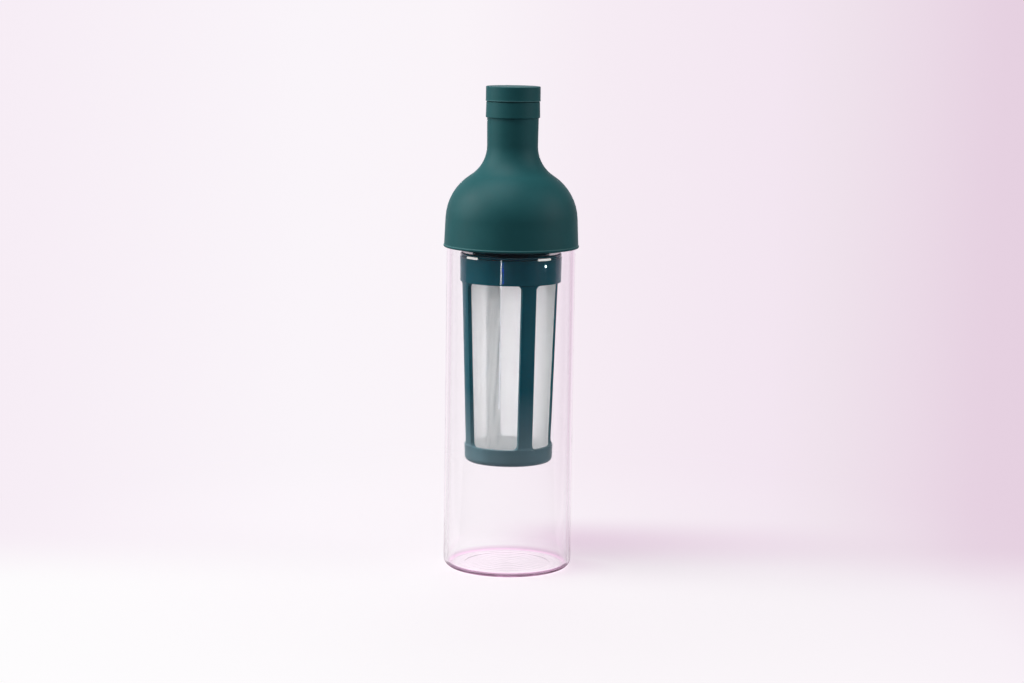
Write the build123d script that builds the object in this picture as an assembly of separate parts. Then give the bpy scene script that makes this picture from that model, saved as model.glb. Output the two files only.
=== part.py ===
"""Cold brew coffee bottle: glass body, rubber neck with stopper, and a hanging mesh strainer.

Millimetres, +Z up, the axis of the bottle on Z and the foot of the glass on Z = 0.
An azimuth of 0 points along -Y, the front, and grows towards +X.

Every turned piece is one closed outline of (radius, height, corner rounding) revolved about Z.
"""
from build123d import *
import math
import os

# ------------------------------------------------------------------ glass body
GLASS_R = 39.8            # outer radius of the tube
GLASS_WALL = 2.2          # wall of the tube
GLASS_H = 217.5           # foot to rim
FLOOR_T = 3.2             # thickness of the floor
FOOT_CORNER_R = 3.0       # outer rounding of the foot
FLOOR_CORNER_R = 2.4      # inner rounding between floor and wall
PUNT_R = 27.0             # radius of the shallow hollow under the floor
PUNT_RISE = 0.8           # height of that hollow
PUNT_SLOPE = 3.0          # width of the hollow's sloping edge
PUNT_BEND_R = 3.0         # rounding where that slope meets the hollow's roof
PUNT_EDGE_R = 1.0         # rounding where that slope meets the foot

# ------------------------------------------------------------------ fits, gaps and cuts
PUSH_FIT = 0.05           # radial clearance of a push or running fit
BOND_GAP = 0.05           # clearance between pieces that are bonded to each other
BODY_GAP = 0.3            # clearance between separate pieces that don't fit each other
SEAT_GAP = 0.2            # clearance under a piece that rests on another
FULL_ROUND = 0.98         # part of its room that the rounding of a fully round edge takes
CUT_OVER = 1.0            # how far a cutter runs past what it cuts
STRAIGHT = 0.01           # an outline that turns by fewer degrees than this runs straight on

# ------------------------------------------------------------------ rubber neck sleeve
SKIRT_OVERLAP = 16.5      # length of glass that the skirt covers
SKIRT_WALL = 2.15         # wall of the skirt at its lip
SLEEVE_WALL = 2.4         # wall of the shoulder
SHOULDER_RISE = 34.8      # height of the shoulder corner over the lip
SHOULDER_INSET = 1.9      # how far the shoulder corner lies inside the lip
SHOULDER_R = 32.6         # rounding of the shoulder
INNER_SHOULDER_R = 25.0   # rounding of the shoulder inside
THROAT_RISE = 50.9        # height of the throat corner over the lip
THROAT_R = 21.6           # rounding of the throat
NECK_R = 15.55            # radius of the neck at the throat
NECK_FLARE = 0.35         # how much the neck widens up to its lip band
NECK_RISE = 79.8          # height of the lip band's lower edge over the skirt's lip
LIP_BAND_H = 9.85         # height of the lip band
LIP_BAND_STEP = 0.85      # how far the lip band stands out of the neck
LIP_BAND_DRAFT = 0.25     # how much the lip band narrows towards the top
NECK_WALL = 2.55          # wall of the neck
WEB_T = 2.6               # thickness of the web across the skirt
SOCKET_WALL = 2.4         # wall of the tube that holds the strainer
SOCKET_DEPTH = 14.2       # length of that tube below the web
SEAL_WALL = 2.15          # wall of the sealing skirt inside the glass
SEAL_DEPTH = 11.7         # length of the sealing skirt below the web
LIP_EDGE_R = 0.9          # rounding of the skirt's lip
EDGE_R = 0.5              # rounding of the other edges of rubber pieces
SHOULDER_SHARE = 0.565    # part of the slope that the shoulder's rounding may take
THROAT_SHARE = 0.43       # part of the slope that the throat's rounding may take
FREE_SHARE = 0.9          # part of a side without another large rounding that one may take

# ------------------------------------------------------------------ stopper
CAP_OVERHANG = 0.45       # how far the cap stands out over the lip band's top
CAP_H = 9.1               # height of the cap
CAP_GAP = 0.25            # clearance between the cap and the neck's lip
PLUG_LEN = 17.0           # length of the plug
PLUG_RELIEF = 0.5         # clearance between the plug's core and the neck
RIB_COUNT = 3             # sealing ribs on the plug
RIB_H = 1.8               # height of a sealing rib
RIB_PITCH = 4.4           # spacing of the sealing ribs
RIB_TOP = 2.6             # from the cap down to the first rib's centre
PLUG_CHAMFER = 1.2        # lead-in at the plug's end

# ------------------------------------------------------------------ strainer head
BREW_GAP = 6.15           # space between the strainer's band and the glass
FLANGE_W = 7.7            # from the flange's edge in to the spigot
FLANGE_DROP = 2.8         # from the skirt's lip down to the flange
FLANGE_H = 2.45           # height of the flange's edge
FLANGE_DISH = 1.3         # fall of the flange's top towards the spigot
FLANGE_EDGE_R = 1.2       # rounding of the flange's upper edge
SPIGOT_WALL = 1.55        # wall of the spigot
SPIGOT_LEN = 20.15        # spigot's height over the flange
HEAD_PLUG_LEN = 8.25      # length of the plug that the basket fits on
HEAD_PLUG_WALL = 1.6      # wall of that plug
FUNNEL_RISE = 4.0         # height of the funnel between plug and spigot
FUNNEL_DROP = 2.3         # from the flange's edge down to the funnel's upper end
HEAD_EDGE_R = 0.35        # rounding of the head's edges

# ------------------------------------------------------------------ basket frame
PARTING_GAP = 0.25        # groove between the head and the basket
BAND_H = 15.5             # height of the upper band
BAND_DRAFT = 0.2          # how much the band narrows downwards
BAND_STEP = 0.75          # step from the band in to the ribs
BAND_WALL = 1.75          # wall of the band
BASKET_DEPTH = 112.8      # from the band's step down to the basket's bottom
BASKET_TAPER = 3.7        # how much the basket's radius shrinks over that depth
RIB_WALL = 2.3            # radial thickness of ribs and bottom ring
RIB_W = 9.1               # width of a rib
WINDOW_COUNT = 4          # windows, and as many ribs
WINDOW_SILL = 10.6        # height of the bottom ring up to the windows
WINDOW_CORNER_R = 3.0     # rounding of the windows' corners
FIRST_RIB_AZIMUTH = 22.4  # azimuth of the rib nearest the front
RING_STAND = 0.4          # how far the bottom ring stands out of the ribs
RING_SLOPE_H = 1.2        # height of the slope from the ring in to the ribs
RING_SLOPE_R = 2.0        # rounding at both ends of that slope
LEDGE_W = 3.1             # width of the ledge that carries the mesh disc
LEDGE_T = 1.7             # thickness of that ledge
CROSS_W = 2.6             # width of the bars across the bottom
CROSS_DROP = 0.2          # how far those bars lie under the ledge's top
RING_EDGE_R = 3.2         # rounding of the basket's lower edge
FRAME_EDGE_R = 0.3        # rounding of the frame's other edges

# ------------------------------------------------------------------ mesh
MESH_T = 0.3              # thickness of the cloth, with its coating
COLLAR_GAP = 0.2          # clearance between the cloth's collar and the hoop around it
COLLAR_DROP = 1.6         # from the head's plug down to the collar's top edge
LAP_W = 7.0               # width of the cloth's lap seam
HOOP_WALL = 1.3           # wall of the hoop at the cloth's top edge
HOOP_STAND = 0.9          # how far the hoop stands over the band
TAB_W = 10.0              # width of a tab on the hoop
TAB_OFFSET = 18.4         # azimuth from a rib to the tab beside it
TAB_SINK = 0.4            # depth of a tab's seat in the band
TAB_INSET = 0.1           # how far a tab lies inside the band's surface

# ------------------------------------------------------------------ radii and levels that follow
GLASS_BORE_R = GLASS_R - GLASS_WALL
SKIRT_BORE_R = GLASS_R + PUSH_FIT
LIP_R = SKIRT_BORE_R + SKIRT_WALL
SEAL_R = GLASS_BORE_R - PUSH_FIT
BORE_R = NECK_R - NECK_WALL
NECK_TOP_R = NECK_R + NECK_FLARE
LIP_BAND_R = NECK_TOP_R + LIP_BAND_STEP
LIP_BAND_TOP_R = LIP_BAND_R - LIP_BAND_DRAFT
CAP_R = LIP_BAND_TOP_R + CAP_OVERHANG

LIP_Z = GLASS_H - SKIRT_OVERLAP
WEB_Z = GLASS_H + SEAT_GAP
WEB_TOP_Z = WEB_Z + WEB_T
SHOULDER_Z = LIP_Z + SHOULDER_RISE
THROAT_Z = LIP_Z + THROAT_RISE
LIP_BAND_Z = LIP_Z + NECK_RISE
NECK_TOP_Z = LIP_BAND_Z + LIP_BAND_H
CAP_Z = NECK_TOP_Z + CAP_GAP

BAND_R = GLASS_BORE_R - BREW_GAP
SPIGOT_R = BAND_R - FLANGE_W
SOCKET_BORE_R = SPIGOT_R + PUSH_FIT
FLANGE_TOP_Z = LIP_Z - FLANGE_DROP
FLANGE_Z = FLANGE_TOP_Z - FLANGE_H
FUNNEL_TOP_Z = FLANGE_TOP_Z - FUNNEL_DROP
SPIGOT_TOP_Z = FLANGE_TOP_Z + SPIGOT_LEN

BAND_TOP_Z = FLANGE_Z - PARTING_GAP
STEP_Z = BAND_TOP_Z - BAND_H
BASKET_Z = STEP_Z - BASKET_DEPTH
SILL_Z = BASKET_Z + WINDOW_SILL
BAND_FOOT_R = BAND_R - BAND_DRAFT
RIB_TOP_R = BAND_FOOT_R - BAND_STEP
BAND_BORE_R = BAND_R - BAND_WALL
LEDGE_TOP_Z = BASKET_Z + LEDGE_T

HOOP_R = BAND_BORE_R - BOND_GAP
HOOP_BORE_R = HOOP_R - HOOP_WALL
HOOP_Z = STEP_Z + 2 * FRAME_EDGE_R
HOOP_TOP_Z = BAND_TOP_Z + HOOP_STAND
HEAD_PLUG_R = HOOP_BORE_R - PUSH_FIT
HEAD_PLUG_Z = FLANGE_Z - HEAD_PLUG_LEN
GROOVE_R = HOOP_R + BODY_GAP
GROOVE_TOP_Z = HOOP_TOP_Z + BODY_GAP

COLLAR_R = HOOP_BORE_R - COLLAR_GAP
COLLAR_TOP_Z = HEAD_PLUG_Z - COLLAR_DROP


def turn_at(before, corner, after):
    """Degrees by which an outline turns at a corner."""
    first = Vector(*corner[:2]) - Vector(*before[:2])
    second = Vector(*after[:2]) - Vector(*corner[:2])
    return first.get_angle(second)


def turned(*corners):
    """Revolve a closed outline, given as (radius, height, corner rounding), about Z.

    A corner where the outline runs straight on is left out.
    """
    befores = corners[-1:] + corners[:-1]
    afters = corners[1:] + corners[:1]
    kept = [
        corner for before, corner, after in zip(befores, corners, afters)
        if turn_at(before, corner, after) > STRAIGHT
    ]
    points = [(radius, height) for radius, height, _ in kept]
    roundings = [rounding for _, _, rounding in kept]
    outline = FilletPolyline(*points, radius=roundings, close=True)
    return revolve(Plane.XZ * make_face(outline), Axis.Z)


def at_azimuth(azimuth, shape):
    """Turn a shape that was drawn at the front, azimuth 0, to another azimuth."""
    return Rot(0, 0, azimuth) * shape


def front_block(width, inner_r, outer_r, low_z, high_z):
    """A block across the front, from one radius out to another."""
    depth = outer_r - inner_r
    height = high_z - low_z
    centre = (0, -(inner_r + outer_r) / 2, (low_z + high_z) / 2)
    return Pos(*centre) * Box(width, depth, height)


def rib_azimuths():
    """Azimuths of the ribs."""
    return [FIRST_RIB_AZIMUTH + 360 / WINDOW_COUNT * k for k in range(WINDOW_COUNT)]


def tab_azimuths():
    """Azimuths of the hoop's tabs and of their notches."""
    return [azimuth + TAB_OFFSET for azimuth in rib_azimuths()]


def offset_corner(before, corner, after, distance):
    """Corner of the two lines before-corner-after, both moved to their left by distance."""
    first = (Vector(*corner) - Vector(*before)).normalized()
    second = (Vector(*after) - Vector(*corner)).normalized()
    half_turn = math.radians(turn_at(before, corner, after)) / 2
    inward = (Vector(-first.Y, first.X) + Vector(-second.Y, second.X)).normalized()
    moved = Vector(*corner) + inward * (distance / math.cos(half_turn))
    return moved.X, moved.Y


def limited_rounding(before, corner, after, wanted, share_before, share_after):
    """The wanted rounding, or the largest that takes only its share of each side."""
    room = min(share_before * math.dist(before, corner), share_after * math.dist(corner, after))
    half_turn = math.radians(turn_at(before, corner, after)) / 2
    return min(wanted, room / math.tan(half_turn))


def frame_outer_r(height):
    """Outer radius of the basket's ribs at a height."""
    return RIB_TOP_R - BASKET_TAPER * (STEP_Z - height) / BASKET_DEPTH


def frame_inner_r(height):
    """Inner radius of the basket's ribs and bottom ring at a height."""
    return frame_outer_r(height) - RIB_WALL


def glass_body():
    """Straight tube with a closed floor, a shallow hollow under it and a fully rounded rim."""
    rim_r = GLASS_WALL / 2 * FULL_ROUND
    return turned(
        (0, PUNT_RISE, 0),
        (PUNT_R - PUNT_SLOPE, PUNT_RISE, PUNT_BEND_R),
        (PUNT_R, 0, PUNT_EDGE_R),
        (GLASS_R, 0, FOOT_CORNER_R),
        (GLASS_R, GLASS_H, rim_r),
        (GLASS_BORE_R, GLASS_H, rim_r),
        (GLASS_BORE_R, FLOOR_T, FLOOR_CORNER_R),
        (0, FLOOR_T, 0),
    )


def neck_sleeve():
    """Skirt, shoulder, neck and lip band, with the web, socket tube and sealing skirt inside."""
    lip = (LIP_R, LIP_Z)
    shoulder = (LIP_R - SHOULDER_INSET, SHOULDER_Z)
    throat = (NECK_R, THROAT_Z)
    neck_top = (NECK_TOP_R, LIP_BAND_Z)

    inner_shoulder = offset_corner(lip, shoulder, throat, SLEEVE_WALL)
    slope = (throat[1] - shoulder[1]) / (throat[0] - shoulder[0])
    inner_throat = (BORE_R, inner_shoulder[1] + slope * (BORE_R - inner_shoulder[0]))
    draft = SHOULDER_INSET / SHOULDER_RISE
    web_end = (inner_shoulder[0] + draft * (inner_shoulder[1] - WEB_TOP_Z), WEB_TOP_Z)
    neck_end = (BORE_R, NECK_TOP_Z)

    shoulder_r = limited_rounding(lip, shoulder, throat, SHOULDER_R, FREE_SHARE, SHOULDER_SHARE)
    throat_r = limited_rounding(shoulder, throat, neck_top, THROAT_R, THROAT_SHARE, FREE_SHARE)
    inner_shoulder_r = limited_rounding(
        web_end, inner_shoulder, inner_throat, INNER_SHOULDER_R, FREE_SHARE, SHOULDER_SHARE)
    inner_throat_r = limited_rounding(
        inner_shoulder, inner_throat, neck_end, throat_r + SLEEVE_WALL, THROAT_SHARE, FREE_SHARE)

    socket_r = SOCKET_BORE_R + SOCKET_WALL
    seal_bore_r = SEAL_R - SEAL_WALL
    socket_z = WEB_Z - SOCKET_DEPTH
    seal_z = WEB_Z - SEAL_DEPTH
    groove_r = (SKIRT_BORE_R - SEAL_R) / 2 * FULL_ROUND
    return turned(
        (*lip, LIP_EDGE_R),
        (*shoulder, shoulder_r),
        (*throat, throat_r),
        (*neck_top, EDGE_R / 2),
        (LIP_BAND_R, LIP_BAND_Z, EDGE_R),
        (LIP_BAND_TOP_R, NECK_TOP_Z, EDGE_R),
        (*neck_end, EDGE_R),
        (*inner_throat, inner_throat_r),
        (*inner_shoulder, inner_shoulder_r),
        (*web_end, EDGE_R),
        (SOCKET_BORE_R, WEB_TOP_Z, EDGE_R),
        (SOCKET_BORE_R, socket_z, EDGE_R),
        (socket_r, socket_z, EDGE_R),
        (socket_r, WEB_Z, 2 * EDGE_R),
        (seal_bore_r, WEB_Z, 2 * EDGE_R),
        (seal_bore_r, seal_z, EDGE_R),
        (SEAL_R, seal_z, EDGE_R),
        (SEAL_R, WEB_Z, groove_r),
        (SKIRT_BORE_R, WEB_Z, groove_r),
        (SKIRT_BORE_R, LIP_Z, EDGE_R),
    )


def stopper():
    """Flat round cap on a solid plug with sealing ribs."""
    plug_r = BORE_R - PLUG_RELIEF
    plug_z = CAP_Z - PLUG_LEN
    cap_top_z = CAP_Z + CAP_H
    body = turned(
        (0, plug_z, 0),
        (plug_r - PLUG_CHAMFER, plug_z, EDGE_R),
        (plug_r, plug_z + PLUG_CHAMFER, EDGE_R),
        (plug_r, CAP_Z, EDGE_R / 2),
        (CAP_R, CAP_Z, EDGE_R),
        (CAP_R, cap_top_z, EDGE_R),
        (0, cap_top_z, 0),
    )
    rib_r = BORE_R - PUSH_FIT
    rib_edge_r = (rib_r - plug_r) * FULL_ROUND
    for k in range(RIB_COUNT):
        centre_z = CAP_Z - RIB_TOP - k * RIB_PITCH
        body += turned(
            (plug_r - rib_edge_r, centre_z - RIB_H / 2, 0),
            (rib_r, centre_z - RIB_H / 2, rib_edge_r),
            (rib_r, centre_z + RIB_H / 2, rib_edge_r),
            (plug_r - rib_edge_r, centre_z + RIB_H / 2, 0),
        )
    return body


def strainer_head():
    """Flange with a spigot above it and, below it, the plug that the basket fits on."""
    spigot_bore_r = SPIGOT_R - SPIGOT_WALL
    plug_bore_r = HEAD_PLUG_R - HEAD_PLUG_WALL
    body = turned(
        (plug_bore_r, HEAD_PLUG_Z, HEAD_EDGE_R),
        (HEAD_PLUG_R, HEAD_PLUG_Z, HEAD_EDGE_R),
        (HEAD_PLUG_R, GROOVE_TOP_Z, 0),
        (GROOVE_R, GROOVE_TOP_Z, 0),
        (GROOVE_R, FLANGE_Z, 0),
        (BAND_R, FLANGE_Z, FRAME_EDGE_R),
        (BAND_R, FLANGE_TOP_Z, FLANGE_EDGE_R),
        (SPIGOT_R, FLANGE_TOP_Z - FLANGE_DISH, HEAD_EDGE_R),
        (SPIGOT_R, SPIGOT_TOP_Z, HEAD_EDGE_R),
        (spigot_bore_r, SPIGOT_TOP_Z, HEAD_EDGE_R),
        (spigot_bore_r, FUNNEL_TOP_Z, FUNNEL_RISE / 2),
        (plug_bore_r, FUNNEL_TOP_Z - FUNNEL_RISE, FUNNEL_RISE / 2),
    )
    notch_w = TAB_W + 2 * BODY_GAP
    mid_groove_r = (HEAD_PLUG_R + GROOVE_R) / 2
    notch = front_block(
        notch_w, mid_groove_r, BAND_R + CUT_OVER, FLANGE_Z - CUT_OVER, GROOVE_TOP_Z)
    for azimuth in tab_azimuths():
        body -= at_azimuth(azimuth, notch)
    return body


def window_cutter():
    """Block between the side faces of two neighbouring ribs, with the windows' corner rounding.

    Both sides lie half a rib's width off the middle planes of their ribs, so the ribs keep one
    width from top to bottom.
    """
    half_pitch = math.radians(180 / WINDOW_COUNT)
    apex = RIB_W / 2 / math.sin(half_pitch)
    reach = 2 * GLASS_R
    side = reach * math.tan(half_pitch)
    plan = make_face(Polyline((0, -apex), (side, -apex - reach), (-side, -apex - reach), close=True))
    block = Pos(0, 0, SILL_Z) * extrude(plan, STEP_Z - SILL_Z)
    sides = [
        edge for edge in block.edges()
        if abs(edge.tangent_at(0.5).Z) < 0.5 and abs(edge.center().X) > side / 4
    ]
    return fillet(sides, WINDOW_CORNER_R)


def strainer_frame():
    """Band, ribs and bottom ring in one moulding, with seats for the tabs and a cross below."""
    ring_bore_r = frame_inner_r(LEDGE_TOP_Z) - LEDGE_W
    ring_top_z = SILL_Z + RING_SLOPE_H
    body = turned(
        (ring_bore_r, BASKET_Z, FRAME_EDGE_R),
        (frame_outer_r(BASKET_Z) + RING_STAND, BASKET_Z, RING_EDGE_R),
        (frame_outer_r(SILL_Z) + RING_STAND, SILL_Z, RING_SLOPE_R),
        (frame_outer_r(ring_top_z), ring_top_z, RING_SLOPE_R),
        (RIB_TOP_R, STEP_Z, FRAME_EDGE_R),
        (BAND_FOOT_R, STEP_Z, FRAME_EDGE_R),
        (BAND_R, BAND_TOP_Z, FRAME_EDGE_R),
        (BAND_BORE_R, BAND_TOP_Z, 0),
        (BAND_BORE_R, HOOP_Z - BOND_GAP, 0),
        (frame_inner_r(STEP_Z), HOOP_Z - BOND_GAP, 0),
        (frame_inner_r(STEP_Z), STEP_Z, 0),
        (frame_inner_r(LEDGE_TOP_Z), LEDGE_TOP_Z, 0),
        (ring_bore_r, LEDGE_TOP_Z, FRAME_EDGE_R),
    )
    cutter = window_cutter()
    for azimuth in rib_azimuths():
        body -= at_azimuth(azimuth + 180 / WINDOW_COUNT, cutter)

    seat_w = TAB_W + 2 * BOND_GAP
    seat_z = BAND_TOP_Z - TAB_SINK
    seat = front_block(
        seat_w, BAND_BORE_R - CUT_OVER, BAND_R + CUT_OVER, seat_z, BAND_TOP_Z + CUT_OVER)
    for azimuth in tab_azimuths():
        body -= at_azimuth(azimuth, seat)

    bar_t = LEDGE_T - CROSS_DROP
    bar = Pos(0, 0, BASKET_Z + bar_t / 2) * Box(CROSS_W, 2 * ring_bore_r + LEDGE_W, bar_t)
    for azimuth in rib_azimuths()[:WINDOW_COUNT // 2]:
        body += at_azimuth(azimuth, bar)
    return body


def mesh_hoop():
    """Ring at the cloth's top edge, with tabs that reach out to the band's surface."""
    body = turned(
        (HOOP_BORE_R, HOOP_Z, 0),
        (HOOP_R, HOOP_Z, 0),
        (HOOP_R, HOOP_TOP_Z, 0),
        (HOOP_BORE_R, HOOP_TOP_Z, FRAME_EDGE_R),
    )
    tab_z = BAND_TOP_Z - TAB_SINK + BOND_GAP
    tab_r = BAND_R - TAB_INSET
    tab_disc = Pos(0, 0, (tab_z + HOOP_TOP_Z) / 2) * Cylinder(tab_r, HOOP_TOP_Z - tab_z)
    block = front_block(TAB_W, HOOP_R - HOOP_WALL / 2, BAND_R + CUT_OVER, tab_z, HOOP_TOP_Z)
    for azimuth in tab_azimuths():
        body += tab_disc & at_azimuth(azimuth, block)
    return body


def cloth_outline(offset):
    """Outline of one layer of cloth, a given distance inside the faces that it is bonded to.

    The tapered tube follows the ribs up to the hoop's seat, and the collar follows the hoop.
    """
    low_z = LEDGE_TOP_Z + MESH_T + 2 * BOND_GAP
    outer = [
        (frame_inner_r(low_z) - BOND_GAP - offset, low_z, 0),
        (frame_inner_r(STEP_Z) - BOND_GAP - offset, STEP_Z, 0),
        (frame_inner_r(STEP_Z) - BOND_GAP - offset, HOOP_Z - BOND_GAP, 0),
        (COLLAR_R - offset, HOOP_Z, 0),
        (COLLAR_R - offset, COLLAR_TOP_Z, 0),
    ]
    inner = [(radius - MESH_T, height, rounding) for radius, height, rounding in outer]
    return outer + inner[::-1]


def mesh_sleeve():
    """Tapered cloth tube with a straight collar, and a second layer where its ends lap."""
    tube = turned(*cloth_outline(0))
    layer = turned(*cloth_outline(MESH_T))
    lap = front_block(LAP_W, 0, BAND_R, BASKET_Z, BAND_TOP_Z)
    return tube + (layer & at_azimuth(rib_azimuths()[-1], lap))


def mesh_base():
    """Round cloth disc on the bottom ring's ledge."""
    disc_r = frame_inner_r(LEDGE_TOP_Z) - BODY_GAP
    low_z = LEDGE_TOP_Z + BOND_GAP
    return Pos(0, 0, low_z + MESH_T / 2) * Cylinder(disc_r, MESH_T)


def main():
    """Write each piece to parts/ under its own name."""
    os.makedirs("parts", exist_ok=True)
    pieces = {
        "glass_body": glass_body(),
        "neck_sleeve": neck_sleeve(),
        "stopper": stopper(),
        "strainer_head": strainer_head(),
        "strainer_frame": strainer_frame(),
        "mesh_hoop": mesh_hoop(),
        "mesh_sleeve": mesh_sleeve(),
        "mesh_base": mesh_base(),
    }
    for name, piece in pieces.items():
        export_step(piece, f"parts/{name}.step")


main()
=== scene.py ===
"""Looks of a cold brew coffee bottle: glass body, silicone neck and stopper, hanging mesh strainer.

Metres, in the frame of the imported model: +Z up, the bottle's axis on Z, the foot of the glass on
Z = 0 and -Y the front. An azimuth of 0 points along -Y and grows towards +X. Sizes that are written
in millimetres stand in fields whose name or comment says so, and MM turns them to metres.
"""
import logging
import math
from dataclasses import dataclass
from enum import Enum
from typing import Any, Sequence

import bpy
import numpy as np
from mathutils import Matrix, Vector


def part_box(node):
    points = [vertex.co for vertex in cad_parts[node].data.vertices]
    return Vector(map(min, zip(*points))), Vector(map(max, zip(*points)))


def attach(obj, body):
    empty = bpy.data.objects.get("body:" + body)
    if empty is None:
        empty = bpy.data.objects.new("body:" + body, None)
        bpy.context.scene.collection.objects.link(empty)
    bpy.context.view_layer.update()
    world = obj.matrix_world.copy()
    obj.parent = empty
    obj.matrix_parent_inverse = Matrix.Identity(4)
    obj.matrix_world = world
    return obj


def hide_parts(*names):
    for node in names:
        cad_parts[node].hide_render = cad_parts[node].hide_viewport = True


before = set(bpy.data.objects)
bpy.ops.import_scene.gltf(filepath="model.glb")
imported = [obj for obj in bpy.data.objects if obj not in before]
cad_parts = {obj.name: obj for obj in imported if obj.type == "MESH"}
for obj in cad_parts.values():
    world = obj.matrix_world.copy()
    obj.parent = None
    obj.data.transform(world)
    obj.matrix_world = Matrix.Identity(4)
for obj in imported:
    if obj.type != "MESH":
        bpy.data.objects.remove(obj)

MM = 0.001
NOISE_SPAN = (0.3, 0.7)        # nearly all values of a noise texture lie between these
LOG = logging.getLogger("bottle")

Corner = tuple[float, float, float]
Links = dict[str | int, Any]
Pair = tuple[float, float]
Place = tuple[float, float, float]
Socket = bpy.types.NodeSocket
Stops = tuple[tuple[float, str], ...]
Tree = bpy.types.NodeTree


class Body(Enum):
    """The bodies of the bottle that pieces ride on."""

    BOTTLE = "bottle"
    NECK = "neck"
    STOPPER = "stopper"
    HEAD = "head"
    BASKET = "basket"


class Slot(Enum):
    """The material slots of the bottle's record."""

    GLASS = "borosilicate_glass"
    SILICONE = "green_silicone"
    GREEN_PP = "green_polypropylene"
    NATURAL_PP = "natural_polypropylene"
    CLOTH = "polyester_mesh"


# ---------------------------------------------------------------------------- colours and nodes
def linear(colour: str) -> tuple[float, float, float, float]:
    """Turn an sRGB hex colour to the linear values that shaders take.

    Args:
        colour: "#rrggbb".

    Returns:
        Linear red, green and blue, with an alpha of 1.
    """
    parts = np.array([int(colour[k:k + 2], 16) for k in (1, 3, 5)]) / 255
    values = np.where(parts <= 0.04045, parts / 12.92, ((parts + 0.055) / 1.055) ** 2.4)
    return (*values.tolist(), 1.0)


def add_node(tree: Tree, kind: str, inputs: Links | None = None, stops: Stops = (),
             **settings: Any) -> bpy.types.Node:
    """Add a node with its settings and links.

    Args:
        tree: The node tree that takes it.
        kind: The node's type without its leading "ShaderNode".
        inputs: A value, or an output socket to link, for each input's name or number.
        stops: Positions on a colour ramp, in order, each with its sRGB hex colour.
        settings: Values of the node's own properties.

    Returns:
        The new node.
    """
    node = tree.nodes.new("ShaderNode" + kind)
    for name, value in settings.items():
        setattr(node, name, value)
    for name, value in (inputs or {}).items():
        if isinstance(value, Socket):
            tree.links.new(value, node.inputs[name])
        else:
            node.inputs[name].default_value = value
    if stops:
        elements = node.color_ramp.elements
        while len(elements) < len(stops):
            elements.new(1.0)
        for element, (position, colour) in zip(elements, stops):
            element.position, element.color = position, linear(colour)
    return node


def new_tree(name: str) -> tuple[bpy.types.Material, Tree]:
    """Make a material with an empty node tree.

    Args:
        name: The material's name.

    Returns:
        The material and its tree.
    """
    material = bpy.data.materials.new(name)
    material.use_nodes = True
    material.node_tree.nodes.clear()
    return material, material.node_tree


# ---------------------------------------------------------------------------- meshes from arrays
def rounded_outline(corners: Sequence[Corner], closed: bool, step: float = 2.0, most: int = 80,
                    turn: float = 7.0) -> np.ndarray:
    """Sample an outline of straight runs joined by tangent arcs.

    At a corner that turns by 2a, an arc of radius R leaves both runs at R tan(a) from the corner.
    The normal of a point is its direction of travel turned right by a quarter, so the outline is
    given with the material on its left.

    Args:
        corners: Radius, height and rounding of each corner, in millimetres.
        closed: Whether the last corner runs back to the first. An open outline starts and ends
            on the axis.
        step: The longest distance between points on a run, in millimetres, unless that takes
            more parts than the run may have.
        most: The largest number of parts of a run.
        turn: The largest angle between points on an arc, in degrees.

    Returns:
        Rows of radius, height, radial normal and upward normal, in metres.
    """
    points = np.array([corner[:2] for corner in corners], float)
    count = len(points)
    stretches, ends = [], []
    for k, (_, _, rounding) in enumerate(corners):
        here = points[k]
        if not closed and k in (0, count - 1):
            ends.append((here, here))
            stretches.append(None)
            continue
        first, second = here - points[k - 1], points[(k + 1) % count] - here
        first, second = first / np.linalg.norm(first), second / np.linalg.norm(second)
        bend = math.atan2(first[0] * second[1] - first[1] * second[0], first @ second)
        cut = rounding * math.tan(abs(bend) / 2)
        start, end = here - first * cut, here + second * cut
        side = math.copysign(1.0, bend)
        centre = start + side * rounding * np.array([-first[1], first[0]])
        angle = math.atan2(first[1], first[0])
        swept = angle + np.linspace(0, bend, max(2, math.ceil(abs(math.degrees(bend)) / turn) + 1))
        normals = np.stack([np.sin(swept), -np.cos(swept)], axis=1)
        stretches.append(np.hstack([centre + side * rounding * normals, normals]))
        ends.append((start, end))
    rows = []
    for k in range(count):
        if stretches[k] is not None:
            rows.append(stretches[k])
        if not closed and k == count - 1:
            break
        begin, finish = ends[k][1], ends[(k + 1) % count][0]
        length = np.linalg.norm(finish - begin)
        if length < 1e-6:
            continue
        along = (finish - begin) / length
        parts = min(most, max(1, math.ceil(length / step)))
        shares = np.linspace(0, 1, parts + 1)
        keep_first = not closed and k == 0
        keep_last = not closed and k == count - 2
        shares = shares[0 if keep_first else 1:parts + 1 if keep_last else parts]
        run = begin + shares[:, None] * (finish - begin)
        normal = np.tile([along[1], -along[0]], (len(run), 1))
        rows.append(np.hstack([run, normal]))
    outline = np.vstack(rows)
    outline[:, :2] *= MM
    return outline


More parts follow.
